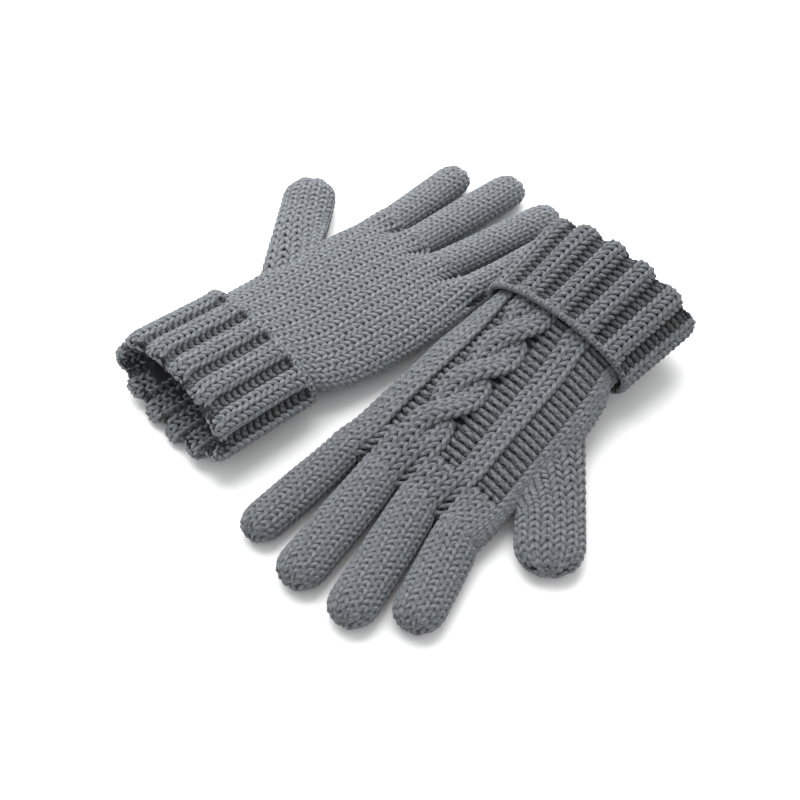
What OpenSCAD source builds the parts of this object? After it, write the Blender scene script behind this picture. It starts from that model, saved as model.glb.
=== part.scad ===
/* [Pair layout] */
// Heading of the left glove, from its cuff to its fingers, in degrees from +X
left_heading = -3.4; // [-6:0.1:0]
// Heading of the right glove, in degrees from +X
right_heading = 183.4; // [181:0.1:184]
// Where the left glove's mid-palm point lies
left_at = [12.3, 53.5]; // [-100:0.1:100]
// Where the right glove's mid-palm point lies
right_at = [-14.6, -47.9]; // [-100:0.1:100]
// Rise of the right glove from its knuckles to its cuff, which stands off the table, in degrees
right_pitch = 3.2; // [3:0.1:5]
// Roll of the right glove at its cuff, in degrees
right_roll = 5; // [4:0.1:6]

/* [Knitted wall] */
// Thickness of one layer of the knitting
wall = 3; // [2.5:0.1:3.5]
// Thickness of the ribbed layer of the cuff
rib_wall = 4.2; // [3.6:0.1:4.4]
// Gap between pieces that move against each other
joint_gap = 0.4; // [0.3:0.1:0.6]

/* [Cuff] */
// Half of the cuff's width
cuff_half_w = 45; // [43:0.5:45]
// Half of the cuff's height
cuff_half_h = 19; // [18.5:0.5:20]
// Depth of the turned-back layer, from its fold to its free edge
cuff_depth = 54; // [50:1:55]
// Number of ribs around the cuff
rib_count = 11; // [9:1:12]
// Depth of the grooves between the ribs
rib_depth = 1.6; // [1:0.1:1.8]
// How far the upper lip of the mouth lies back from the fold line
lip_top = 4; // [2:0.5:5]
// How far the lower lip of the mouth runs out past the fold line
lip_bottom = 8; // [4:0.5:9]

/* [Hand] */
// Where the cuff ends and the palm and back panels start
hand_start = 57; // [57:1:58]
// Where the panels end and the four fingers start
web_x = 166; // [164:1:168]

/* [Thumb] */
// Where the thumb leaves the side of the hand
thumb_x = 105; // [102:1:108]
// Direction of the left thumb from the hand's own direction, in degrees
thumb_splay = 42.5; // [41:0.5:44]
// Length of the left thumb from the middle of the hand's side
thumb_length = 68; // [62:1:70]

/* [Hidden] */

// Glove numbers
LEFT = 0;
RIGHT = 1;
// Finger numbers
INDEX = 0;
MIDDLE = 1;
RING = 2;
LITTLE = 3;

// Points around a whole tube, a half shell and the ribbed cuff
tube_sides = 24;
shell_sides = 14;
rib_sides = 80;
// The point of the hand that the layout places, and where the rise of the right glove ends
palm_point_x = 120;
rise_end_x = 150;
// The wrist rib starts inside the fold and is a little thinner than the outer layer
wrist_start = 4;
wrist_wall = 3.5;

// Stations of the hand: [x, middle y of the left and right glove, half width of each, half height,
// middle z, half the angle of the thumb's way through the side]
hand_stations = [
    [57, [-2, 0.5], [39.4, 39.4], 13.4, 18, 0],
    [66, [-3, 1.5], [42.5, 42.5], 13.8, 15.6, 0],
    [78, [-3.5, 2], [44.5, 44.5], 14, 13.4, 0],
    [90, [-4, 2.5], [45.8, 46], 14, 13.2, 0],
    [95, [-4.2, 2.7], [45.9, 46], 14, 13.1, 24],
    [116, [-4.4, 3], [46, 46], 13.5, 12.7, 24],
    [121, [-4.2, 3], [45.8, 46], 13.2, 12.4, 0],
    [134, [-3.7, 3], [45, 46.2], 12.3, 11.5, 0],
    [150, [-2.6, 3.6], [43.6, 47], 11, 10.2, 0],
    [166, [-1.4, 4], [43, 47.5], 9.6, 8.8, 0]
];

// Each finger: [middle y at its root, half width at its root, half width, half height, length, splay]
finger_sizes = [
    [
        [31, 9.8, 10.2, 8.4, 58, 6],
        [10.6, 10, 10.8, 8.6, 75, -0.5],
        [-12, 10, 10, 8.4, 75, -6.5],
        [-34, 8.4, 8, 8, 61, -3]
    ],
    [
        [38.2, 12.6, 12.7, 8, 56, 18.8],
        [12.6, 12.2, 12.5, 8.2, 74, 15.5],
        [-12, 12, 12.6, 8.2, 74, 9.5],
        [-34.4, 9.8, 11, 8, 67, 1.5]
    ]
];
root_half_h = 8.8;
tip_round = 13;
// Each thumb: [middle y at the hand's side, half width, half height, length, direction, middle z there]
thumb_sizes = [
    [40, 15, 8.6, thumb_length, thumb_splay, 13],
    [42, 17, 7.8, thumb_length - 3, thumb_splay - 3, 10]
];
thumb_tip_round = 17;

// Across and along directions of a tube with a given heading
function across(heading) = [-sin(heading), cos(heading), 0];
function along(heading) = [cos(heading), sin(heading), 0];
// A rise from 0 to 1 with a gentle start and end
function ease(u) = let (v = min(1, max(0, u))) v * v * (3 - 2 * v);
// Joins a list of lists
function joined(lists) = [for (part = lists) each part];
function reversed(list) = [for (i = [len(list) - 1 : -1 : 0]) list[i]];

// Height of a point once its glove lies in the pair
function rise(glove, x, y) =
    glove == LEFT ? 0 : max(0, rise_end_x - x) * (tan(right_pitch) - y * tan(right_roll) / rise_end_x);
function seated(glove, p) = [p[0], p[1], p[2] + rise(glove, p[0], p[1])];

// One oval ring of a tube
function oval(middle, heading, half_w, half_h, sides) = [
    for (i = [0 : sides - 1])
        let (turn = 360 * i / sides)
        middle + half_w * cos(turn) * across(heading) + [0, 0, half_h * sin(turn)]
];

// A solid from rings of equal length: "torus" joins the last to the first, "strips" closes both
// ends of a split tube, and "points" closes a tube on the two given points
module lofted(rings, ends = "torus", points = []) {
    count = len(rings);
    sides = len(rings[0]);
    spans = ends == "torus" ? count : count - 1;
    last = (count - 1) * sides;
    walls = [
        for (i = [0 : spans - 1], j = [0 : sides - 1])
            let (
                a = i * sides + j,
                b = i * sides + (j + 1) % sides,
                c = (i + 1) % count * sides + (j + 1) % sides,
                d = (i + 1) % count * sides + j
            )
            each [[a, b, c], [a, c, d]]
    ];
    flat = ends != "strips" ? [] : [
        for (j = [0 : sides / 2 - 2])
            let (k = j + 1, m = sides - 1 - j, n = sides - 2 - j)
            each [
                [j, m, n], [j, n, k],
                [last + j, last + n, last + m], [last + j, last + k, last + n]
            ]
    ];
    fans = ends != "points" ? [] : [
        for (j = [0 : sides - 1])
            let (next = (j + 1) % sides)
            each [[next, j, last + sides], [last + j, last + next, last + sides + 1]]
    ];
    polyhedron(points = concat(joined(rings), points), faces = concat(walls, flat, fans));
}

// Puts a glove in its place in the pair
module laid(glove) {
    at = glove == LEFT ? left_at : right_at;
    translate([at[0], at[1], 0])
        rotate([0, 0, glove == LEFT ? left_heading : right_heading])
            translate([-palm_point_x, 0, 0])
                children();
}

// The glove's own weight presses its underside flat
function pressed_flat(p) = [p[0], p[1], max(0, p[2])];

// The mouth leans: its upper lip lies back and its lower lip runs out
function leant(p) =
    let (high = min(1, max(0, p[2] / (2 * cuff_half_h))), near = max(0, 1 - p[0] / cuff_depth))
    [p[0] + near * (high * lip_top - (1 - high) * lip_bottom), p[1], p[2]];

// How deep the surface lies at an angle around the cuff, with the ribs evenly spaced along the oval
function evened(turn) = turn + 90 / PI * (cuff_half_w - cuff_half_h) / (cuff_half_w + cuff_half_h) * sin(2 * turn);
function groove(glove, turn) =
    rib_depth * (0.5 - 0.5 * cos(rib_count * evened(turn - 90 - rib_offset[glove])));

// Middle of each cuff across its glove, and how far its top rib lies off the middle, in degrees
cuff_y = [-2.5, 1];
rib_offset = [0, 5.6];

// The turned-back layer with its fold, from its free edge, over the fold, to the inner lip:
// each [distance from the fold line, depth under the cuff's outer surface, share of the ribs]
cuff_profile = [
    [54, 0, 1], [30, 0, 1], [8, 0, 1], [3, 0.8, 1], [0.6, 2.6, 0.8], [0, 4.6, 0.5],
    [0.8, 6.9, 0.2], [4, 8.2, 0], [4, 4.8, 0], [8, rib_wall, 0], [30, rib_wall, 0], [54, rib_wall, 0]
];

module cuff(glove) {
    rings = [
        for (i = [0 : rib_sides - 1])
            let (turn = 360 * i / rib_sides)
            [
                for (station = cuff_profile)
                    let (
                        depth = station[1] + station[2] * groove(glove, turn),
                        x = station[0] * cuff_depth / 54,
                        y = cuff_y[glove] + (cuff_half_w - depth) * cos(turn),
                        z = cuff_half_h + (cuff_half_h - depth) * sin(turn)
                    )
                    seated(glove, leant([x, y, z]))
            ]
    ];
    color("slategray")
        laid(glove)
            lofted(rings);
}

// The inner layer of the cuff, from inside the fold to the hand
function wrist_ring(glove, u, inset) =
    let (
        first = [wrist_start, cuff_y[glove], cuff_half_w - 4.8, cuff_half_h - 4.8, cuff_half_h],
        hand = hand_stations[0],
        last = [hand_start, hand[1][glove], hand[2][glove], hand[3], hand[4]],
        s = first + (last - first) * u
    )
    [
        for (p = oval([s[0], s[1], s[4]], 0, s[2] - inset, s[3] - inset, tube_sides))
            seated(glove, leant(p))
    ];

module wrist_rib(glove) {
    steps = [0, 0.25, 0.5, 0.75, 1];
    outer = [for (u = steps) wrist_ring(glove, u, 0)];
    inner = [for (u = reversed(steps)) wrist_ring(glove, u, wrist_wall)];
    color("lightslategray")
        laid(glove)
            lofted(concat(outer, inner));
}

// One half of the hand's shell at a station: the outside of the upper or the lower half, from the
// thumb side to the little finger's side, and the inside back again
function panel_strip(glove, station, upper) =
    let (
        middle = [station[0], station[1][glove], station[4]],
        half_w = station[2][glove],
        half_h = station[3],
        first = station[5],
        turns = [for (i = [0 : shell_sides]) first + (180 - first) * i / shell_sides],
        side = upper ? 1 : -1,
        order = upper ? turns : reversed(turns)
    )
    [
        for (turn = order)
            pressed_flat(seated(glove, middle + [0, half_w * cos(turn), side * half_h * sin(turn)])),
        for (turn = reversed(order))
            seated(
                glove,
                middle + [0, (half_w - wall) * cos(turn), side * (half_h - wall) * sin(turn)]
            )
    ];

module panel(glove, upper) {
    strips = [for (station = hand_stations) panel_strip(glove, station, upper)];
    laid(glove)
        lofted(strips, "strips");
}

// The left glove lies palm up and the right glove palm down
module palm(glove) {
    color("slategray")
        panel(glove, glove == LEFT);
}

module back(glove) {
    color("lightslategray")
        panel(glove, glove == RIGHT);
}

// Size factor along a tube that ends in a round tip
function tip_factor(s, length, tip) = s < length - tip ? 1 : sqrt(1 - pow((s - length + tip) / tip, 2));
// Distances along a tube of rings that close up towards its tip
function tube_steps(length, tip) = concat(
    [0, 5, 12, 22, 34],
    length - tip > 46 ? [46] : [],
    [for (a = [0, 22, 42, 58, 70, 79]) length - tip + tip * sin(a)]
);

// Rings of a finger, inset by a wall for its inside
function finger_rings(glove, finger, inset) =
    let (
        size = finger_sizes[glove][finger],
        length = size[4] - inset,
        first = [web_x + joint_gap, size[0], 0]
    )
    [
        for (s = tube_steps(length, tip_round))
            let (
                factor = tip_factor(s, length, tip_round),
                half_w = (size[1] + (size[2] - size[1]) * ease(s / 30) - inset) * factor,
                half_h = (root_half_h + (size[3] - root_half_h) * ease(s / 20) - inset) * factor,
                rest_z = root_half_h + (size[3] - root_half_h) * ease(s / 20),
                middle = first + s * along(size[5]) + [0, 0, rest_z - (1 - factor) * 1.5]
            )
            oval(middle, size[5] * ease(s / 14), half_w, half_h, tube_sides)
    ];

// The end point of a finger's outside or inside
function finger_tip(glove, finger, inset) =
    let (size = finger_sizes[glove][finger])
    [web_x + joint_gap, size[0], size[3] - 1.5] + (size[4] - inset) * along(size[5]);

module finger(glove, number) {
    outer = finger_rings(glove, number, 0);
    inner = finger_rings(glove, number, wall);
    tips = [finger_tip(glove, number, 0), finger_tip(glove, number, wall)];
    color("slategray")
        laid(glove)
            lofted(concat(reversed(outer), inner), "points", tips);
}

// How far out the hand's side reaches at a height, at the widest of the stations by the thumb
function hand_side(glove, z) = max([
    for (s = [for (i = [3 : 8]) hand_stations[i]])
        s[1][glove] + s[2][glove] * sqrt(max(0, 1 - pow((z - s[4]) / s[3], 2)))
]);

// Rings of the thumb; its root follows the curved side of the hand at a small gap
function thumb_rings(glove, inset) =
    let (
        size = thumb_sizes[glove],
        length = size[3] - inset,
        root_z = size[5],
        forward = along(size[4])
    )
    [
        for (s = tube_steps(length, thumb_tip_round))
            let (
                factor = tip_factor(s, length, thumb_tip_round),
                half_w = (size[1] - inset) * factor,
                half_h = (size[2] - inset) * factor,
                middle_z = root_z + (size[2] + 0.4 - root_z) * ease(s / 45) - (1 - factor),
                middle = [thumb_x, size[0], middle_z] + s * forward
            )
            [
                for (p = oval(middle, size[4], half_w, half_h, tube_sides))
                    let (
                        gap = 2.2 * joint_gap * (1 + abs(p[2] - 12) / 8),
                        side = hand_side(glove, p[2]) + gap + s / 3,
                        short = (side - p[1]) / forward[1]
                    )
                    seated(glove, p + (s == 0 ? short : max(0, short)) * forward)
            ]
    ];

function thumb_tip(glove, inset) =
    let (size = thumb_sizes[glove])
    seated(glove, [thumb_x, size[0], size[2] - 0.6] + (size[3] - inset) * along(size[4]));

module thumb(glove) {
    outer = thumb_rings(glove, 0);
    inner = thumb_rings(glove, wall);
    tips = [thumb_tip(glove, 0), thumb_tip(glove, wall)];
    color("slategray")
        laid(glove)
            lofted(concat(reversed(outer), inner), "points", tips);
}

cuff(LEFT);  // left_cuff
wrist_rib(LEFT);  // left_wrist_rib
palm(LEFT);  // left_palm
back(LEFT);  // left_back
thumb(LEFT);  // left_thumb
finger(LEFT, INDEX);  // left_index_finger
finger(LEFT, MIDDLE);  // left_middle_finger
finger(LEFT, RING);  // left_ring_finger
finger(LEFT, LITTLE);  // left_little_finger
cuff(RIGHT);  // right_cuff
wrist_rib(RIGHT);  // right_wrist_rib
palm(RIGHT);  // right_palm
back(RIGHT);  // right_back
thumb(RIGHT);  // right_thumb
finger(RIGHT, INDEX);  // right_index_finger
finger(RIGHT, MIDDLE);  // right_middle_finger
finger(RIGHT, RING);  // right_ring_finger
finger(RIGHT, LITTLE);  // right_little_finger
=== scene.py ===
"""A pair of chunky knitted gloves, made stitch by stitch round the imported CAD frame."""

import math
from collections import namedtuple

import bpy
import numpy as np
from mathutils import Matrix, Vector


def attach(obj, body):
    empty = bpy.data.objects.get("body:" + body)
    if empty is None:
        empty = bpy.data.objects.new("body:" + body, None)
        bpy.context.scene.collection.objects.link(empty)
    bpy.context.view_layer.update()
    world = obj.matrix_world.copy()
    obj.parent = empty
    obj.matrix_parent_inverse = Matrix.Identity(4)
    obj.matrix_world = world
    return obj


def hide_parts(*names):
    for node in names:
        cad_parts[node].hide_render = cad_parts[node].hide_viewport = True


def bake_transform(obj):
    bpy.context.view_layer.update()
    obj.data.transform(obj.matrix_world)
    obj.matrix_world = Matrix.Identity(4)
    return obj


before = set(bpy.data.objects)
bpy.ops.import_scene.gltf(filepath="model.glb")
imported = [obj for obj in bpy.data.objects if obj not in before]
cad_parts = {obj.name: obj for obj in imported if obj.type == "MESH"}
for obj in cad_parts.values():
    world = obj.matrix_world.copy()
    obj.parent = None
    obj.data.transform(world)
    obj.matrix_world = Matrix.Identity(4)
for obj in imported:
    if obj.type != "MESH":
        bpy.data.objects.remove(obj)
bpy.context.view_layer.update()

# Glove and finger numbers, as in part.scad
LEFT, RIGHT = 0, 1
GLOVES = ("left", "right")
FINGERS = ("index", "middle", "ring", "little")

# Lengths from here to the lights are in millimetres, in a glove's own axes: x runs from the fold of
# its cuff to its fingertips, and y towards its thumb. They follow the sizes of part.scad, but the
# cuff's ribs are deeper, its edge is rolled and its mouth flares.
HEADING = (-3.4, 183.4)
PLACE = ((12.3, 53.5), (-14.6, -47.9))
PALM_POINT_X = 120
RISE_END_X = 150
RIGHT_PITCH = math.radians(3.2)
RIGHT_ROLL = math.radians(5)
CUFF_HALF_W = 45
CUFF_HALF_H = 19
CUFF_DEPTH = 54
CUFF_Y = (-2.5, 1)
RIB_COUNT = 11
RIB_OFFSET = (0, 7.8)
LIP_TOP = (3, -1)
LIP_BOTTOM = (13, 2)
FLARE = (0.08, 0.15)
RIB_RELIEF = 3.6
FOLD_SCALLOP = 2.2
FOLD_DEPTH = 9
WRIST_START = 4
WRIST_INSET = 4.8
WRIST_WALL = 3.5
WRIST_RELIEF = 1.4
HAND_START = 57
PANEL_START_X = 46
LOBES_START_X = 143
WEB_X = 166
FINGER_START_X = 166.4
FINGER_OVERLAP = 3
THUMB_X = 105
HINGE_Z = 17.8
# Distance along a finger, and two distances along a thumb, from the root, at which points are put
# into the row frame
FINGER_BLEND = 26
THUMB_BLEND = (6, 34)

# Stations of the hand: x, middle y of each glove, half width of each, half height, middle z
HAND_STATIONS = (
    (57, (-2, 0.5), (39.4, 39.4), 13.4, 18),
    (66, (-3, 1.5), (42.5, 42.5), 13.8, 15.6),
    (78, (-3.5, 2), (44.5, 44.5), 14, 13.4),
    (90, (-4, 2.5), (45.8, 46), 14, 13.2),
    (116, (-4.4, 3), (46, 46), 13.5, 12.7),
    (121, (-4.2, 3), (45.8, 46), 13.2, 12.4),
    (134, (-3.7, 3), (45, 46.2), 12.3, 11.5),
    (150, (-2.6, 3.6), (43.6, 47), 11, 10.2),
    (166, (-1.4, 4), (43, 47.5), 9.6, 8.8),
)
# Fingers of each glove: root y, half width at the root, half width, half height, length, splay
FINGER_SIZES = (
    (
        (31, 9.8, 10.2, 8.4, 58, 6),
        (10.6, 10, 10.8, 8.6, 75, -0.5),
        (-12, 10, 10, 8.4, 75, -6.5),
        (-34, 8.4, 8, 8, 61, -3),
    ),
    (
        (38.2, 12.6, 12.7, 8, 56, 18.8),
        (12.6, 12.2, 12.5, 8.2, 74, 15.5),
        (-12, 12, 12.6, 8.2, 74, 9.5),
        (-34.4, 9.8, 11, 8, 67, 1.5),
    ),
)
ROOT_HALF_H = 8.8
TIP_ROUND = 13
TIP_PLEATS = 6
PLEAT_DEPTH = 0.16
TIP_DIMPLE = 2
# Thumbs: root y, half width, half height, length, splay, middle z at the root
THUMB_SIZES = ((40, 15, 8.6, 68, 42.5, 13), (42, 17, 7.8, 65, 39.5, 10))
THUMB_TIP_ROUND = 17
THUMB_SINK = 2
THUMB_STATION = HAND_STATIONS[4]
# The turned-back layer from its free edge over the fold to the inner lip: distance from the fold
# line, depth under the outer surface, and share of the ribs
CUFF_PROFILE = (
    (50.5, 4.6, 0),
    (53.6, 4, 0),
    (55, 2.4, 0),
    (54.4, 0.6, 0),
    (52.5, -0.2, 0.1),
    (50, 0, 0.45),
    (47, 0, 0.85),
    (44, 0, 1),
    (30, 0, 1),
    (8, 0, 1),
    (3, 0.8, 0.9),
    (0.6, 2.6, 0.7),
    (0, 4.6, 0.5),
    (0.8, 6.9, 0.35),
    (4, 8.2, 0.3),
)

# Stitches: the yarn's radius, how far a loop swings sideways in shares of a wale, how far it
# reaches in shares of a course, and how deep it weaves in and out
Stitch = namedtuple("Stitch", "yarn swing reach depth")
PLAIN_STITCH = Stitch(1.3, 0.29, 0.97, 1.2)
RIB_STITCH = Stitch(1.3, 0.3, 0.95, 1.25)
EDGE_STITCH = Stitch(1.3, 0.25, 0.9, 0.3)
# How unevenly the stitches lie, and the share of a wale over which the yarn changes wales
SLIP = 0.04
DROP = 0.07
CHANGE = 0.14
# Height of a course of stitches, wales round a piece, and points along the yarn of a stitch
PALM_PITCH = 3.7
BACK_PITCH = 4.2
FINGER_PITCH = 3.7
THUMB_PITCH = 3.8
CUFF_PITCH = 3.6
WRIST_PITCH = 3.4
PALM_WALES = 15
FINGER_WALES = (12, 12, 12, 10)
THUMB_WALES = 13
PANEL_POINTS = 16
TUBE_POINTS = 14
CUFF_POINTS = 12
WRIST_POINTS = 10
# A tip's courses have half the wales below the first share of the full girth, and a quarter below
# the second
TIP_GIRTHS = (0.62, 0.3)
EDGE_END = 9
# How much further along its yarn each course starts than the one before it
COURSE_TRAVEL = 47
# Extra depth given to a purl wale's painted shade, so purl wales are painted darker
PURL_SHADE = -1.2
# The backing, a dark sheet of painted shade seen between the stitches: its depth under the surface,
# its thickness, and its gap at the hand's middle
BACKING_DEPTH = 3.6
BACK_BACKING_DEPTH = 4.4
CUFF_BACKING_DEPTH = 7.6
CUFF_BACKING = (8.4, 49)
BACKING_WALL = 0.6
MIDDLE_GAP = 0.2
BACKING_STEP = 1.6
# Points in a ring of a surface
TURNS = 360

# The back's pattern from the thumb's side: a plain side, purl band, ridge, purl groove, cable, lower
# groove, lower ridge and plain side. Each band is its wales, its face and its lift, and the borders
# between the bands are given across the hand at the wrist and at the knuckles.
CABLE_BANDS = (
    (3, 1, 0),
    (3, -1, -1.2),
    (2, 1, 0.7),
    (2, -1, -1.6),
    (4, 1, 1),
    (1, -1, -1.6),
    (2, 1, 0.7),
    (2, 1, 0),
)
CABLE_WRIST_X = 57
CABLE_KNUCKLE_X = 140
CABLE_WRIST_Y = np.array([34.5, 21, 8, -1.5, -25.5, -29, -37])
CABLE_KNUCKLE_Y = np.array([44.5, 29.5, 18.5, 5, -19, -26, -36.5])
CABLE_FIRST = sum(wales for wales, _, _ in CABLE_BANDS[:4])
CABLE_WALES = 4
CABLE_START_X = 57
CABLE_CROSSING = 28.3
CABLE_END_X = 138
CABLE_SETTLING = 6
# The strands: width of a wale, sway to either side, height, rise and dip at a crossing, roundness
CABLE_STRAND = 6.5
CABLE_SWAY = 6.6
CABLE_LIFT = 1.4
CABLE_OVER = 3
CABLE_UNDER = 1.1
CABLE_ROUND = 0.5
PATTERN_END_X = 143
PATTERN_FADE = 8
# The borders are those of the right hand, whose middle y runs between these
PATTERN_MIDDLE_X = (57, 150)
PATTERN_MIDDLE_Y = (0.5, 3.6)
# Share of a wale's lift taken back off the depth from which its painted shade is set
LIFT_SHADE = -0.7

random = np.random.default_rng(7)


def ease(u):
    v = np.clip(u, 0, 1)
    return v * v * (3 - 2 * v)


def rise(glove, points):
    """The right glove's cuff lies higher than its fingers, and rolled."""
    lifted = points.copy()
    if glove == RIGHT:
        x, y = points[..., 0], points[..., 1]
        slope = math.tan(RIGHT_PITCH) - y * math.tan(RIGHT_ROLL) / RISE_END_X
        lifted[..., 2] += np.maximum(0, RISE_END_X - x) * slope
    return lifted


def leant(glove, points):
    """The mouth flares; its upper lip lies back and its lower lip runs out."""
    moved = points.copy()
    high = np.clip(points[..., 2] / (2 * CUFF_HALF_H), 0, 1)
    near = np.maximum(0, 1 - points[..., 0] / CUFF_DEPTH)
    moved[..., 0] += near * (high * LIP_TOP[glove] - (1 - high) * LIP_BOTTOM[glove])
    moved[..., 1] += near * FLARE[glove] * 0.5 * (points[..., 1] - CUFF_Y[glove])
    moved[..., 2] += near * FLARE[glove] * points[..., 2]
    return moved


def row_frame(glove, points):
    """Points of a glove in the row frame, in metres."""
    turn = math.radians(HEADING[glove])
    x = points[..., 0] - PALM_POINT_X
    y = points[..., 1]
    placed = np.empty_like(points)
    placed[..., 0] = PLACE[glove][0] + x * math.cos(turn) - y * math.sin(turn)
    placed[..., 1] = PLACE[glove][1] + x * math.sin(turn) + y * math.cos(turn)
    placed[..., 2] = points[..., 2]
    return placed / 1000


class Surface:
    """The outside of a tube as a fine grid of rings, each spaced evenly round its length."""

    def __init__(self, stations, rings, flipped=False):
        self.stations = np.asarray(stations, float)
        self.points = np.stack([self.spaced(ring) for ring in rings])
        along = np.gradient(self.points, self.stations, axis=0)
        around = np.roll(self.points, -1, axis=1) - np.roll(self.points, 1, axis=1)
        normals = np.cross(around, along)
        length = np.linalg.norm(normals, axis=2, keepdims=True)
        self.normals = normals / np.maximum(length, 1e-9) * (-1 if flipped else 1)
        steps = np.linalg.norm(self.points[:, 1:] - self.points[:, :-1], axis=2)
        self.girth = steps.sum(axis=1) * TURNS / (TURNS - 1)

    @staticmethod
    def spaced(ring):
        closed = np.vstack([ring, ring[:1]])
        steps = np.linalg.norm(np.diff(closed, axis=0), axis=1)
        walked = np.concatenate([[0], np.cumsum(steps)])
        wanted = np.linspace(0, walked[-1], TURNS, endpoint=False)
        return np.stack([np.interp(wanted, walked, closed[:, k]) for k in range(3)], axis=1)

    def mixed(self, grid, q, s):
        i = np.interp(s, self.stations, np.arange(len(self.stations)))
        i0 = np.minimum(i.astype(int), len(self.stations) - 2)
        fi = (i - i0)[..., None]
        j = (q % 1) * TURNS
        j0 = j.astype(int) % TURNS
        fj = (j - np.floor(j))[..., None]
        j1 = (j0 + 1) % TURNS
        near = grid[i0, j0] * (1 - fj) + grid[i0, j1] * fj
        far = grid[i0 + 1, j0] * (1 - fj) + grid[i0 + 1, j1] * fj
        return near * (1 - fi) + far * fi

    def at(self, q, s, height):
        """Points at a height over the surface, and the normals there."""
        normal = self.mixed(self.normals, q, s)
        normal /= np.maximum(np.linalg.norm(normal, axis=-1, keepdims=True), 1e-9)
        return self.mixed(self.points, q, s) + height[..., None] * normal, normal

    def girth_at(self, s):
        return float(np.interp(s, self.stations, self.girth))


# --- Surfaces of the pieces ---

def hand_ring(glove, x):
    """A ring of the hand, from its thumb side over its top; near the web it falls into four lobes."""
    turn = np.linspace(0, 2 * math.pi, TURNS, endpoint=False)
    xs = [station[0] for station in HAND_STATIONS]

    def value(pick):
        return float(np.interp(x, xs, [pick(station) for station in HAND_STATIONS]))

    middle_y = value(lambda station: station[1][glove])
    half_w = value(lambda station: station[2][glove])
    half_h = value(lambda station: station[3])
    middle_z = value(lambda station: station[4])
    y = middle_y + half_w * np.cos(turn)
    height = half_h * np.sin(turn)
    lobes = 0.3 * np.abs(height)
    for root_y, root_w, *_ in FINGER_SIZES[glove]:
        inside = np.clip(1 - ((y - root_y) / (root_w + 0.4)) ** 2, 0, 1)
        lobes = np.maximum(lobes, ROOT_HALF_H * np.sqrt(inside))
    lobed = ease((x - LOBES_START_X) / (WEB_X - LOBES_START_X)) ** 1.3
    height = height * (1 - lobed) + np.sign(height) * lobes * lobed
    ring = np.stack([np.full(TURNS, float(x)), y, middle_z + height], axis=1)
    return rise(glove, ring)


def hand_surface(glove):
    xs = np.linspace(PANEL_START_X, WEB_X + 1, 122)
    return Surface(xs, [hand_ring(glove, x) for x in xs])


def tip_factor(s, length, tip):
    over = np.clip((s - length + tip) / tip, 0, 0.9995)
    return math.sqrt(1 - over * over)


def oval(middle, heading, half_w, half_h):
    turn = np.linspace(0, 2 * math.pi, TURNS, endpoint=False)
    side = np.array([-math.sin(heading), math.cos(heading), 0])
    up = np.array([0, 0, 1])
    return middle + half_w * np.cos(turn)[:, None] * side + half_h * np.sin(turn)[:, None] * up


def gathered(ring, middle, forward, closed):
    """The tip's yarn is drawn together: it is pleated and dimpled."""
    turn = np.linspace(0, 2 * math.pi, TURNS, endpoint=False)
    pleat = 1 + PLEAT_DEPTH * ease(closed * 1.4) * np.cos(TIP_PLEATS * turn)
    dimple = TIP_DIMPLE * ease((closed - 0.55) / 0.45)
    return middle + (ring - middle) * pleat[:, None] - dimple * forward


def direction(heading):
    return np.array([math.cos(heading), math.sin(heading), 0])


def tube_stations(start, length, tip):
    """Distances along a tube, which come closer and closer over its round tip."""
    arc = np.linspace(0, math.pi / 2, 30)
    straight = np.linspace(start, length - tip, 60, endpoint=False)
    return np.concatenate([straight, length - tip + tip * np.sin(arc)])


def walked_distances(stations, length, tip):
    """How far the knitting has come at each station: over the tip it walks round."""
    over = np.clip((stations - length + tip) / tip, 0, 1)
    walked = np.minimum(stations, length - tip) + tip * 0.85 * np.arcsin(over)
    return walked + np.arange(len(stations)) * 1e-5


def finger_surface(glove, number):
    root_y, root_w, half_w, half_h, length, splay = FINGER_SIZES[glove][number]
    forward = direction(math.radians(splay))
    stations = tube_stations(-FINGER_OVERLAP, length, TIP_ROUND)
    rings = []
    for s in stations:
        factor = tip_factor(s, length, TIP_ROUND)
        w = (root_w + (half_w - root_w) * ease(s / 30)) * factor
        h = (ROOT_HALF_H + (half_h - ROOT_HALF_H) * ease(s / 20)) * factor
        z = ROOT_HALF_H + (half_h - ROOT_HALF_H) * ease(s / 20) - (1 - factor) * 1.5
        middle = np.array([FINGER_START_X, root_y, 0]) + s * forward + np.array([0, 0, z])
        ring = oval(middle, math.radians(splay) * float(ease(s / 14)), w, h)
        rings.append(gathered(ring, middle, forward, 1 - factor))
    return Surface(walked_distances(stations, length, TIP_ROUND), rings)


def hand_side(glove, z):
    """How far out the hand's side reaches at a height, where the thumb leaves it."""
    _, middle_y, half_w, half_h, middle_z = THUMB_STATION
    inside = np.maximum(0, 1 - ((z - middle_z) / half_h) ** 2)
    return middle_y[glove] + half_w[glove] * np.sqrt(inside)


def thumb_surface(glove):
    root_y, half_w, half_h, length, splay, root_z = THUMB_SIZES[glove]
    heading = math.radians(splay)
    forward = direction(heading)
    stations = tube_stations(0, length, THUMB_TIP_ROUND)
    root = oval(np.array([THUMB_X, root_y, root_z]), heading, half_w, half_h)
    sunk = (hand_side(glove, root[:, 2]) - THUMB_SINK - root[:, 1]) / forward[1]
    rings = []
    for s in stations:
        factor = tip_factor(s, length, THUMB_TIP_ROUND)
        z = root_z + (half_h + 0.4 - root_z) * float(ease(s / 45)) - (1 - factor)
        middle = np.array([THUMB_X, root_y, z]) + s * forward
        ring = oval(middle, heading, half_w * factor, half_h * factor)
        ring = gathered(ring, middle, forward, 1 - factor)
        share = max(0.0, 1 - s / THUMB_BLEND[1])
        ring += (sunk * share)[:, None] * forward
        rings.append(rise(glove, ring))
    return Surface(walked_distances(stations, length, THUMB_TIP_ROUND), rings)


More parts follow.
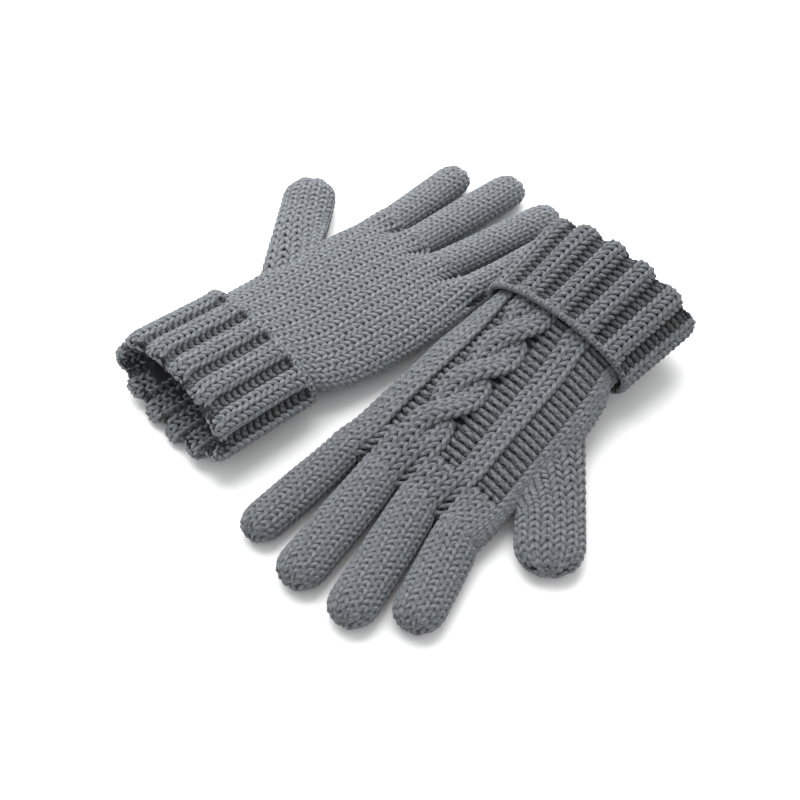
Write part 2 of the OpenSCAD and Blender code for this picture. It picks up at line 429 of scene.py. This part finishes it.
def evened(turn):
    """How far round the cuff's girth a turn from its top comes, both in degrees."""
    flat = (CUFF_HALF_W - CUFF_HALF_H) / (CUFF_HALF_W + CUFF_HALF_H)
    return turn + 90 / math.pi * flat * np.sin(np.radians(2 * turn))


def rib_groove(glove, turn):
    """0 on a ridge and 1 in a groove; the ridges are wide and the grooves narrow."""
    wave = 0.5 - 0.5 * np.cos(np.radians(RIB_COUNT * (evened(turn - 90) - RIB_OFFSET[glove])))
    return wave ** 2


def cuff_surface(glove, relief=RIB_RELIEF):
    """The turned-back layer, from its free edge over the fold to the inner lip."""
    profile = np.array(CUFF_PROFILE, float)
    steps = np.hypot(np.diff(profile[:, 0]), np.diff(profile[:, 1]))
    walked = np.concatenate([[0], np.cumsum(steps)])
    stations = np.linspace(0, walked[-1], 130)
    turn = np.linspace(0, 360, TURNS, endpoint=False)
    wave = rib_groove(glove, turn)
    rings = []
    for s in stations:
        x = float(np.interp(s, walked, profile[:, 0]))
        depth = float(np.interp(s, walked, profile[:, 1]))
        share = float(np.interp(s, walked, profile[:, 2]))
        under = depth + share * relief * wave
        ring = np.stack([
            x + FOLD_SCALLOP * wave * ease(1 - x / FOLD_DEPTH),
            CUFF_Y[glove] + (CUFF_HALF_W - under) * np.cos(np.radians(turn)),
            CUFF_HALF_H + (CUFF_HALF_H - under) * np.sin(np.radians(turn)),
        ], axis=1)
        rings.append(rise(glove, leant(glove, ring)))
    return Surface(stations, rings, flipped=True)


def wrist_surface(glove):
    """The inside of the inner layer of the rib, from inside the fold to the hand."""
    half_w = CUFF_HALF_W - WRIST_INSET
    half_h = CUFF_HALF_H - WRIST_INSET
    first = np.array([WRIST_START, CUFF_Y[glove], half_w, half_h, CUFF_HALF_H])
    hand = HAND_STATIONS[0]
    last = np.array([HAND_START, hand[1][glove], hand[2][glove], hand[3], hand[4]])
    turn = np.linspace(0, 360, TURNS, endpoint=False)
    wave = rib_groove(glove, turn)
    stations = np.linspace(0, HAND_START - WRIST_START, 60)
    rings = []
    for s in stations:
        x, y, w, h, z = first + (last - first) * s / (HAND_START - WRIST_START)
        under = WRIST_WALL + WRIST_RELIEF * wave
        ring = np.stack([
            np.full(TURNS, x),
            y + (w - under) * np.cos(np.radians(turn)),
            z + (h - under) * np.sin(np.radians(turn)),
        ], axis=1)
        rings.append(rise(glove, leant(glove, ring)))
    return Surface(stations, rings, flipped=True)


# --- Knitting ---

class Knit:
    """How a tube is knitted: the middle and width of each wale round it, its face and its lift."""

    def __init__(self, edges, faces, lifts=None, shades=None, stitch=PLAIN_STITCH):
        edges = np.asarray(edges, float)
        self.stitch = stitch
        self.shades = np.zeros(len(faces)) if shades is None else np.asarray(shades, float)
        self.middles = (edges[1:] + edges[:-1]) / 2
        self.widths = np.diff(edges)
        self.faces = np.asarray(faces, float)
        self.lifts = np.zeros(len(faces)) if lifts is None else np.asarray(lifts, float)
        self.count = len(faces)
        self.first = edges[0]
        self.last = edges[-1]

    def place(self, wale, off, s, row):
        """Share of the way round, lift, face and shade at a place off the middle of a wale."""
        turns = wale // self.count
        k = wale % self.count
        share = self.middles[k] + off * self.widths[k] + turns * (self.last - self.first)
        return share, self.lifts[k], self.faces[k], self.shades[k]


class CableKnit(Knit):
    """The back of the hand: ribs and purl bands with a rope cable of two crossing strands.

    Its wales run from the thumb's side to the little finger's. Their edges are given across the
    hand at the wrist and at the knuckles."""

    def __init__(self, surface, upper):
        faces = [face for wales, face, _ in CABLE_BANDS for _ in range(wales)]
        lifts = [lift for wales, _, lift in CABLE_BANDS for _ in range(wales)]
        super().__init__(np.linspace(0, 0.5, len(faces) + 1), faces, lifts)
        self.surface = surface
        self.upper = upper
        self.first, self.last = (0.0, 0.5) if upper else (0.5, 1.0)
        self.edges = np.array([self.station_edges(i) for i in range(len(surface.stations))])

    def station_edges(self, i):
        """The edges of all wales at a station, as shares of the way round."""
        x = self.surface.stations[i]
        across = self.surface.points[i, :TURNS // 2 + 1, 1]
        middle_y = self.surface.points[i, :, 1].mean()
        shift = middle_y - np.interp(x, PATTERN_MIDDLE_X, PATTERN_MIDDLE_Y)
        along = np.clip((x - CABLE_WRIST_X) / (CABLE_KNUCKLE_X - CABLE_WRIST_X), 0, 1)
        borders = CABLE_WRIST_Y + (CABLE_KNUCKLE_Y - CABLE_WRIST_Y) * along + shift
        borders = np.clip(borders, across.min() + 1, across.max() - 1)
        shares = np.interp(-borders, -across, np.arange(TURNS // 2 + 1) / TURNS)
        edges = [0]
        for (wales, _, _), end in zip(CABLE_BANDS, (*shares, 0.5)):
            edges.extend(np.linspace(edges[-1], end, wales + 1)[1:])
        return edges

    def edge(self, k, s):
        """Share of the way round at which a wale starts."""
        i = np.interp(s, self.surface.stations, np.arange(len(self.surface.stations)))
        i0 = np.minimum(i.astype(int), len(self.surface.stations) - 2)
        return self.edges[i0, k] * (1 - i + i0) + self.edges[i0 + 1, k] * (i - i0)

    def place(self, wale, off, s, row):
        k = np.clip(wale, 0, self.count - 1)
        off = off + (wale - k)
        near = self.edge(k, s)
        share = near + (off + 0.5) * (self.edge(k + 1, s) - near)
        pattern = 1 - ease((s - PATTERN_END_X) / PATTERN_FADE)
        lift = self.lifts[k] * pattern
        face = self.faces[k] if row < PATTERN_END_X + PATTERN_FADE / 2 else np.ones(len(k))
        roped = (k >= CABLE_FIRST) & (k < CABLE_FIRST + CABLE_WALES)
        turn = math.pi * np.clip((s - CABLE_START_X) / CABLE_CROSSING, 0, 3)
        row_turn = math.pi * min((row - CABLE_START_X) / CABLE_CROSSING, 2.99)
        leading = (k < CABLE_FIRST + 2) == (math.cos(row_turn) > 0)
        side = np.where(leading, np.cos(turn), -np.cos(turn))
        over = np.where(leading, np.sin(turn), -np.sin(turn))
        settled = ease((s - CABLE_END_X) / CABLE_SETTLING)
        over = over * (1 - settled)
        side = np.where(over >= 0, side, np.sign(side) * np.abs(side) ** 0.45)
        side = side + (np.sign(side) - side) * settled
        girth = np.interp(s, self.surface.stations, self.surface.girth)
        middle = self.edge(CABLE_FIRST + 2, s)
        step = (k - CABLE_FIRST) % 2 - 0.5 + off
        rope_share = middle + (CABLE_STRAND * step - CABLE_SWAY * side) / girth
        raised = np.where(over >= 0, CABLE_OVER, CABLE_UNDER) * over
        raised = raised + CABLE_LIFT - CABLE_ROUND * np.abs(2 * step) ** 2
        share = np.where(roped, rope_share, share)
        lift = np.where(roped, raised * pattern, lift)
        return (share if self.upper else 1 - share), lift, face, LIFT_SHADE * lift


def even_knit(count, start=0.0, end=1.0, stitch=PLAIN_STITCH):
    return Knit(np.linspace(start, end, count + 1), [1] * count, stitch=stitch)


def yarn_row(surface, knit, s, pitch, closed, points):
    """The middle line of one course of stitches, the surface's normals, and how deep it lies, with
    the extra depth from which the yarn's painted shade is set.
    """
    stitch = knit.stitch
    count = knit.count
    t = np.linspace(0, count, count * points + 1)
    if closed:
        t = t[:-1]
    k = np.minimum(np.floor(t).astype(int), count - 1)
    slip = random.uniform(-SLIP, SLIP, count + 1)
    drop = random.uniform(-DROP, DROP, count + 1)
    if closed:
        slip[-1] = slip[0]
        drop[-1] = drop[0]
    inside = t - k
    phase = 2 * math.pi * (inside - 0.5)
    w = t + stitch.swing * np.sin(2 * phase) + np.interp(t, np.arange(count + 1), slip)
    along = s + pitch * (stitch.reach * np.cos(phase) + np.interp(t, np.arange(count + 1), drop))
    along = np.clip(along, surface.stations[0], surface.stations[-1])
    near = np.where(inside < 0.5, k - 1, k + 1)
    if not closed:
        near = np.clip(near, 0, count - 1)
    outside = np.where(inside < 0.5, -inside, inside - 1)
    mix = ease((CHANGE + outside) / (2 * CHANGE))
    here = knit.place(k, w - k - 0.5, along, s)
    there = knit.place(near, w - near - 0.5, along, s)
    share, lift, face, shade = (a + (b - a) * mix for a, b in zip(here, there))
    height = lift - face * stitch.depth * np.cos(2 * phase) - stitch.depth - stitch.yarn
    line, normals = surface.at(share, along, height)
    return line, normals, height + shade


def tube(line, normals, shade_heights, closed, yarn, sides):
    """A round tube along a line: its vertices, quads, yarn coordinates, and the depth of each vertex,
    from which the yarn's painted shade is set.
    """
    count = len(line)
    if closed:
        ahead = np.roll(line, -1, axis=0)
        behind = np.roll(line, 1, axis=0)
    else:
        ahead = np.vstack([line[1:], line[-1:]])
        behind = np.vstack([line[:1], line[:-1]])
    tangent = ahead - behind
    tangent /= np.maximum(np.linalg.norm(tangent, axis=1, keepdims=True), 1e-9)
    side = np.cross(tangent, normals)
    side /= np.maximum(np.linalg.norm(side, axis=1, keepdims=True), 1e-9)
    up = np.cross(side, tangent)
    turn = np.arange(sides) * 2 * math.pi / sides
    ring = np.cos(turn)[None, :, None] * side[:, None] + np.sin(turn)[None, :, None] * up[:, None]
    vertices = line[:, None] + yarn * ring
    # Depth of each vertex under the outer surface, from which the yarn material paints shade on deep
    # points
    depth = shade_heights[:, None] + yarn * (ring * normals[:, None]).sum(axis=2)
    walked = np.concatenate([[0], np.cumsum(np.linalg.norm(np.diff(line, axis=0), axis=1))])
    coordinates = np.empty((count, sides, 3))
    coordinates[..., 0] = np.cos(turn)[None]
    coordinates[..., 1] = np.sin(turn)[None]
    coordinates[..., 2] = walked[:, None]
    spans = count if closed else count - 1
    i = np.arange(spans)[:, None]
    j = np.arange(sides)[None]
    a = i * sides + j
    b = i * sides + (j + 1) % sides
    c = (i + 1) % count * sides + (j + 1) % sides
    d = (i + 1) % count * sides + j
    quads = np.stack([a, b, c, d], axis=2).reshape(-1, 4)
    if not closed:
        k = np.arange(sides // 2 - 1)
        cap = np.stack([k, sides - 1 - k, sides - 2 - k, k + 1], axis=1)
        quads = np.vstack([quads, cap, (count - 1) * sides + cap[:, ::-1]])
    return vertices.reshape(-1, 3), quads, coordinates.reshape(-1, 3), depth.ravel()


def shell(surface, start, end, first_q, last_q, depth, columns, pressed):
    """A thin closed backing under the stitches; half a tube's stays on its side of the middle."""
    whole = last_q - first_q >= 0.999
    s = np.linspace(start, end, max(8, int((end - start) / BACKING_STEP)))
    q = np.linspace(first_q, last_q, columns, endpoint=not whole)
    qs, ss = np.meshgrid(q, s)
    side = 1 if first_q < 0.5 else -1
    flat = np.zeros(qs.shape)
    middle_z = (surface.at(qs, ss, flat)[0][..., 2] + surface.at(1 - qs, ss, flat)[0][..., 2]) / 2
    layers = []
    for level, gap in ((depth, MIDDLE_GAP + BACKING_WALL), (depth + BACKING_WALL, MIDDLE_GAP)):
        points, _ = surface.at(qs, ss, flat - level)
        if pressed:
            points[..., 2] = np.maximum(points[..., 2], level)
        if not whole:
            points[..., 2] = middle_z + side * np.maximum(side * (points[..., 2] - middle_z), gap)
        layers.append(points)
    rows, columns = qs.shape
    size = rows * columns
    i = np.arange(rows - 1)[:, None]
    j = np.arange(columns if whole else columns - 1)[None]
    a = i * columns + j
    b = i * columns + (j + 1) % columns
    c = b + columns
    d = a + columns
    outer = np.stack([a, b, c, d], axis=2).reshape(-1, 4)
    quads = [outer, outer[:, ::-1] + size]
    k = np.arange(columns if whole else columns - 1)
    near = np.stack([(k + 1) % columns, k, k + size, (k + 1) % columns + size], axis=1)
    last = (rows - 1) * columns
    quads += [near, near[:, ::-1] + last]
    if not whole:
        m = np.arange(rows - 1) * columns
        left = np.stack([m, m + columns, m + columns + size, m + size], axis=1)
        quads += [left, left[:, ::-1] + columns - 1]
    return np.concatenate([layer.reshape(-1, 3) for layer in layers]), np.concatenate(quads)


class Piece:
    """Collects the yarn and the backing of one knitted piece."""

    def __init__(self, name, glove, pressed=False):
        self.name = name
        self.glove = glove
        self.pressed = pressed
        self.vertices = []
        self.quads = []
        self.coordinates = []
        self.shade_depths = []
        self.slots = []
        self.count = 0
        self.travel = 0.0

    def add(self, vertices, quads, coordinates, shade_depths, slot):
        self.vertices.append(vertices)
        self.quads.append(quads + self.count)
        self.coordinates.append(coordinates)
        self.shade_depths.append(shade_depths)
        self.slots.append(np.full(len(quads), slot, np.int32))
        self.count += len(vertices)

    def add_course(self, surface, knit, s, pitch, closed, points, sides=8):
        line, normals, shade_heights = yarn_row(surface, knit, s, pitch, closed, points)
        yarn = knit.stitch.yarn
        line[:, 2] = np.maximum(line[:, 2], yarn)
        vertices, quads, coordinates, shade_depths = tube(line, normals, shade_heights, closed, yarn, sides)
        coordinates[:, 2] += self.travel
        self.travel += COURSE_TRAVEL
        self.add(vertices, quads, coordinates, shade_depths, 0)

    def add_backing(self, surface, start, end, turns=(0.0, 1.0), depth=BACKING_DEPTH, columns=96):
        vertices, quads = shell(surface, start, end, *turns, depth, columns, self.pressed)
        self.add(vertices, quads, np.zeros((len(vertices), 3)), np.zeros(len(vertices)), 1)

    def made(self):
        points = row_frame(self.glove, np.concatenate(self.vertices))
        quads = np.concatenate(self.quads)
        mesh = bpy.data.meshes.new(self.name)
        mesh.vertices.add(len(points))
        mesh.vertices.foreach_set("co", points.astype(np.float32).ravel())
        mesh.loops.add(quads.size)
        mesh.loops.foreach_set("vertex_index", quads.astype(np.int32).ravel())
        mesh.polygons.add(len(quads))
        mesh.polygons.foreach_set("loop_start", np.arange(0, quads.size, 4, dtype=np.int32))
        mesh.polygons.foreach_set("material_index", np.concatenate(self.slots))
        mesh.polygons.foreach_set("use_smooth", np.ones(len(quads), bool))
        mesh.update(calc_edges=True)
        yarn = mesh.attributes.new("yarn", "FLOAT_VECTOR", "POINT")
        yarn.data.foreach_set("vector", np.concatenate(self.coordinates).astype(np.float32).ravel())
        # Each point's depth, from which the yarn material paints shade
        depth = mesh.attributes.new("depth", "FLOAT", "POINT")
        depth.data.foreach_set("value", np.concatenate(self.shade_depths).astype(np.float32))
        mesh.materials.append(SHADED_YARN_COPIES[self.glove])
        mesh.materials.append(SHADE_BACKING)
        obj = bpy.data.objects.new(self.name, mesh)
        bpy.context.scene.collection.objects.link(obj)
        return obj


# --- Materials ---

YARN_DARK = (0.16, 0.174, 0.187)
YARN_LIGHT = (0.3, 0.323, 0.345)
# The length of one twist of the yarn's two plies, and the depths at which the painted shade on
# deep-lying yarn is darkest and at which it ends
PLY_LENGTH = 3.4
DEEPEST_SHADE_DEPTH = -2.7
UNSHADED_DEPTH = -0.1


def yarn_material(name, tone_and_shade):
    """Matte plied yarn with a fibrous melange, painted shade in the grooves between its plies, and
    painted shade on yarn that lies deep between the stitches.
    """
    material = bpy.data.materials.new(name)
    material.use_nodes = True
    nodes = material.node_tree.nodes
    links = material.node_tree.links
    shader = nodes["Principled BSDF"]
    shader.inputs["Roughness"].default_value = 0.92
    shader.inputs["Specular IOR Level"].default_value = 0.22
    shader.inputs["Sheen Weight"].default_value = 0.15
    shader.inputs["Sheen Roughness"].default_value = 0.55
    shader.inputs["Sheen Tint"].default_value = (0.8, 0.83, 0.86, 1)

    def node(kind, **values):
        made = nodes.new(kind)
        for key, value in values.items():
            setattr(made, key, value)
        return made

    def maths(operation, a, b=None):
        made = node("ShaderNodeMath", operation=operation)
        for socket, value in ((0, a), (1, b)):
            if value is None:
                continue
            if isinstance(value, (int, float)):
                made.inputs[socket].default_value = value
            else:
                links.new(value, made.inputs[socket])
        return made.outputs[0]

    yarn = node("ShaderNodeAttribute", attribute_name="yarn")
    parts = node("ShaderNodeSeparateXYZ")
    links.new(yarn.outputs["Vector"], parts.inputs[0])
    angle = maths("ARCTAN2", parts.outputs[1], parts.outputs[0])
    twist = maths("MULTIPLY", parts.outputs[2], 2 * math.pi / PLY_LENGTH)
    plies = maths("SINE", maths("ADD", maths("MULTIPLY", angle, 2.0), twist))
    fibre_at = node("ShaderNodeCombineXYZ")
    links.new(maths("MULTIPLY", parts.outputs[0], 2.2), fibre_at.inputs[0])
    links.new(maths("MULTIPLY", parts.outputs[1], 2.2), fibre_at.inputs[1])
    links.new(maths("MULTIPLY", parts.outputs[2], 0.55), fibre_at.inputs[2])
    fibre = node("ShaderNodeTexNoise")
    fibre.inputs["Scale"].default_value = 2.6
    fibre.inputs["Detail"].default_value = 4.0
    fibre.inputs["Roughness"].default_value = 0.7
    links.new(fibre_at.outputs[0], fibre.inputs["Vector"])
    place = node("ShaderNodeTexCoord")
    patch = node("ShaderNodeTexNoise")
    patch.inputs["Scale"].default_value = 420.0
    patch.inputs["Detail"].default_value = 2.0
    links.new(place.outputs["Object"], patch.inputs["Vector"])
    fibre_part = maths("MULTIPLY", fibre.outputs["Fac"], 0.6)
    patch_part = maths("MULTIPLY", patch.outputs["Fac"], 0.4)
    blend = maths("ADD", fibre_part, patch_part)
    ramp = node("ShaderNodeValToRGB")
    ramp.color_ramp.elements[0].position = 0.3
    ramp.color_ramp.elements[0].color = (*[tone_and_shade * part for part in YARN_DARK], 1)
    ramp.color_ramp.elements[1].position = 0.7
    ramp.color_ramp.elements[1].color = (*[tone_and_shade * part for part in YARN_LIGHT], 1)
    links.new(blend, ramp.inputs[0])
    # Painted shade in the grooves between the two plies, multiplied into the colour
    shaded = node("ShaderNodeMix", data_type="RGBA", blend_type="MULTIPLY")
    shaded.inputs["Factor"].default_value = 0.6
    links.new(ramp.outputs[0], shaded.inputs["A"])
    ply_groove_shade = node("ShaderNodeMapRange")
    ply_groove_shade.inputs["From Min"].default_value = -1.0
    ply_groove_shade.inputs["From Max"].default_value = 0.2
    ply_groove_shade.inputs["To Min"].default_value = 0.45
    links.new(plies, ply_groove_shade.inputs["Value"])
    links.new(ply_groove_shade.outputs["Result"], shaded.inputs["B"])
    # Painted shade: yarn lying deep between the stitches is darkened towards black
    depth = node("ShaderNodeAttribute", attribute_name="depth")
    hollow_shade = node("ShaderNodeMapRange", interpolation_type="SMOOTHSTEP")
    hollow_shade.inputs["From Min"].default_value = DEEPEST_SHADE_DEPTH
    hollow_shade.inputs["From Max"].default_value = UNSHADED_DEPTH
    hollow_shade.inputs["To Min"].default_value = 0.05
    links.new(depth.outputs["Fac"], hollow_shade.inputs["Value"])
    # Multiplies the painted shade into the yarn's colour
    sunk = node("ShaderNodeMix", data_type="RGBA", blend_type="MULTIPLY")
    sunk.inputs["Factor"].default_value = 1.0
    links.new(shaded.outputs["Result"], sunk.inputs["A"])
    links.new(hollow_shade.outputs["Result"], sunk.inputs["B"])
    links.new(sunk.outputs["Result"], shader.inputs["Base Color"])
    ply_relief = maths("MULTIPLY", plies, 0.5)
    relief = maths("ADD", ply_relief, maths("MULTIPLY", fibre.outputs["Fac"], 0.9))
    bump = node("ShaderNodeBump")
    bump.inputs["Strength"].default_value = 0.6
    bump.inputs["Distance"].default_value = 0.0005
    links.new(relief, bump.inputs["Height"])
    links.new(bump.outputs[0], shader.inputs["Normal"])
    return material


def shade_backing_material(name, colour):
    """Painted shade: a dark sheet standing for the shade inside the knitting, seen between its
    stitches.
    """
    material = bpy.data.materials.new(name)
    material.use_nodes = True
    nodes = material.node_tree.nodes
    links = material.node_tree.links
    shader = nodes["Principled BSDF"]
    shader.inputs["Roughness"].default_value = 1.0
    shader.inputs["Specular IOR Level"].default_value = 0.1
    noise = nodes.new("ShaderNodeTexNoise")
    noise.inputs["Scale"].default_value = 900.0
    ramp = nodes.new("ShaderNodeValToRGB")
    ramp.color_ramp.elements[0].color = (*[0.7 * c for c in colour], 1)
    ramp.color_ramp.elements[1].color = (*[1.3 * c for c in colour], 1)
    place = nodes.new("ShaderNodeTexCoord")
    links.new(place.outputs["Object"], noise.inputs["Vector"])
    links.new(noise.outputs["Fac"], ramp.inputs[0])
    links.new(ramp.outputs[0], shader.inputs["Base Color"])
    return material


# Brightness of each glove's yarn; both gloves are of one yarn, and the right glove's is lowered as
# painted shade
YARN_TONES_AND_SHADE = (0.82, 0.65)
SHADED_YARN_COPIES = [yarn_material(f"{side}_yarn", tone_and_shade) for side, tone_and_shade in zip(GLOVES, YARN_TONES_AND_SHADE)]
# Painted shade: the dark sheet seen between the stitches
SHADE_BACKING = shade_backing_material("knit_gap_shade", (0.03, 0.033, 0.037))


# --- Pieces ---

def courses(start, end, pitch):
    """The courses between two ends of a surface."""
    count = max(1, round((end - start) / pitch))
    step = (end - start) / count
    return [start + step * (k + 0.5) for k in range(count)], step


def panel(glove, name, upper, cabled):
    """The palm or back: one half of the hand's tube."""
    surface = hand_surface(glove)
    turns = (0.0, 0.5) if upper else (0.5, 1.0)
    end = WEB_X + 1
    piece = Piece(name, glove, not upper)
    if cabled:
        knit = CableKnit(surface, upper)
        rows, step = courses(PANEL_START_X, end, BACK_PITCH)
    else:
        knit = even_knit(PALM_WALES, *turns)
        rows, step = courses(PANEL_START_X, end, PALM_PITCH)
    for s in rows:
        piece.add_course(surface, knit, s, step, False, PANEL_POINTS)
    depth = BACK_BACKING_DEPTH if cabled else BACKING_DEPTH
    piece.add_backing(surface, PANEL_START_X, end, turns, depth, 56)
    return piece


def closed_tube(glove, name, surface, wales, pitch):
    """A finger or thumb, knitted round and gathered at its tip."""
    piece = Piece(name, glove)
    start, end = surface.stations[0], surface.stations[-1]
    full = surface.girth_at(end * 0.5)
    rows, step = courses(start + 1, end - 0.5, pitch)
    for s in rows:
        girth = surface.girth_at(s)
        count = wales if girth > TIP_GIRTHS[0] * full else wales // 2
        if girth < TIP_GIRTHS[1] * full:
            count = wales // 4
        piece.add_course(surface, even_knit(count), s, step, True, TUBE_POINTS)
    piece.add_backing(surface, start, end - 0.2)
    return piece


def rib_knit(glove):
    """Two wide knit wales and two narrow purl wales to each rib."""
    edges = []
    start = (90 + RIB_OFFSET[glove]) / 360
    for k in range(RIB_COUNT):
        centre = start + k / RIB_COUNT
        edges += [centre + share / RIB_COUNT for share in (-0.375, 0, 0.375, 0.5)]
    edges.append(edges[0] + 1)
    faces = [1, 1, -1, -1] * RIB_COUNT
    # The purl wales get deeper painted shade
    shades = [0, 0, PURL_SHADE, PURL_SHADE] * RIB_COUNT
    return Knit(edges, faces, shades=shades, stitch=RIB_STITCH)


def cuff(glove):
    """The turned-back layer: its first courses, at the free edge, are rolled and plain."""
    surface = cuff_surface(glove)
    piece = Piece(f"{GLOVES[glove]}_cuff_knit", glove, True)
    knit = rib_knit(glove)
    rows, step = courses(1.5, surface.stations[-1], CUFF_PITCH)
    edge = even_knit(knit.count, stitch=EDGE_STITCH)
    for s in rows:
        piece.add_course(surface, edge if s < EDGE_END else knit, s, step, True, CUFF_POINTS, 7)
    piece.add_backing(cuff_surface(glove, 0), *CUFF_BACKING, depth=CUFF_BACKING_DEPTH)
    return piece


def wrist(glove):
    """The inner layer of the rib, seen through the mouth."""
    piece = Piece(f"{GLOVES[glove]}_wrist_knit", glove, True)
    inner = wrist_surface(glove)
    knit = rib_knit(glove)
    rows, step = courses(0.5, 42, WRIST_PITCH)
    for s in rows:
        piece.add_course(inner, knit, s, step, True, WRIST_POINTS, 6)
    return piece


def build(glove):
    """All knitted pieces of a glove; its cuff, wrist, palm and back go on the hand's body."""
    side = GLOVES[glove]
    hand = f"{side}_hand"
    for piece, node, slot in (
        (cuff(glove), "cuff", "rib_knit"),
        (wrist(glove), "wrist_rib", "rib_knit"),
        (panel(glove, f"{side}_palm_knit", glove == LEFT, False), "palm", "plain_knit"),
        (panel(glove, f"{side}_back_knit", glove == RIGHT, True), "back", "cable_knit"),
    ):
        obj = piece.made()
        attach(obj, hand)
        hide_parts(f"{side}_{node}")
    for number, finger in enumerate(FINGERS):
        surface = finger_surface(glove, number)
        name = f"{side}_{finger}_finger"
        piece = closed_tube(glove, f"{name}_knit", surface, FINGER_WALES[number], FINGER_PITCH)
        obj = piece.made()
        root = np.array([FINGER_START_X, FINGER_SIZES[glove][number][0], HINGE_Z])
        start, end = row_frame(glove, np.array([root, root + FINGER_BLEND * direction(0)]))
        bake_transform(obj)
        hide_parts(name)
    surface = thumb_surface(glove)
    piece = closed_tube(glove, f"{side}_thumb_knit", surface, THUMB_WALES, THUMB_PITCH)
    obj = piece.made()
    root_y, _, _, _, splay, root_z = THUMB_SIZES[glove]
    root = np.array([THUMB_X, root_y, root_z])
    places = [root + reach * direction(math.radians(splay)) for reach in THUMB_BLEND]
    start, end = row_frame(glove, np.array(places))
    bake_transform(obj)
    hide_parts(f"{side}_thumb")


# --- Floor, light and camera ---

def floor():
    mesh = bpy.data.meshes.new("floor")
    size = 6.0
    corners = [(-size, -size, 0), (size, -size, 0), (size, size, 0), (-size, size, 0)]
    mesh.from_pydata(corners, [], [(0, 1, 2, 3)])
    obj = bpy.data.objects.new("floor", mesh)
    bpy.context.scene.collection.objects.link(obj)
    material = bpy.data.materials.new("floor")
    material.use_nodes = True
    shader = material.node_tree.nodes["Principled BSDF"]
    shader.inputs["Base Color"].default_value = (0.93, 0.93, 0.93, 1)
    shader.inputs["Roughness"].default_value = 0.9
    mesh.materials.append(material)


def area_light(name, place, aim, size, power):
    light = bpy.data.lights.new(name, "AREA")
    light.shape = "DISK"
    light.size = size
    light.energy = power
    obj = bpy.data.objects.new(name, light)
    obj.location = place
    obj.rotation_euler = (Vector(aim) - Vector(place)).to_track_quat("-Z", "Y").to_euler()
    bpy.context.scene.collection.objects.link(obj)


def studio():
    world = bpy.data.worlds.new("studio")
    bpy.context.scene.world = world
    world.use_nodes = True
    background = world.node_tree.nodes["Background"]
    background.inputs["Color"].default_value = (1, 1, 1, 1)
    background.inputs["Strength"].default_value = 0.88
    area_light("key", (0.32, 0.55, 0.95), (0, 0, 0), 1.5, 24)
    bpy.context.scene.view_settings.view_transform = "Standard"


def camera():
    azimuth = math.radians(-43.4)
    elevation = math.radians(50)
    distance = 0.8
    target = Vector((-0.0176, -0.0064, 0))
    back = Vector((
        math.sin(azimuth) * math.cos(elevation),
        -math.cos(azimuth) * math.cos(elevation),
        math.sin(elevation),
    ))
    data = bpy.data.cameras.new("camera")
    data.lens = 72.2
    data.sensor_width = 36
    data.clip_start = 0.05
    data.clip_end = 50
    obj = bpy.data.objects.new("camera", data)
    obj.location = target + distance * back
    obj.rotation_euler = (-back).to_track_quat("-Z", "Y").to_euler()
    bpy.context.scene.collection.objects.link(obj)
    bpy.context.scene.camera = obj


for glove in (LEFT, RIGHT):
    build(glove)
floor()
studio()
camera()
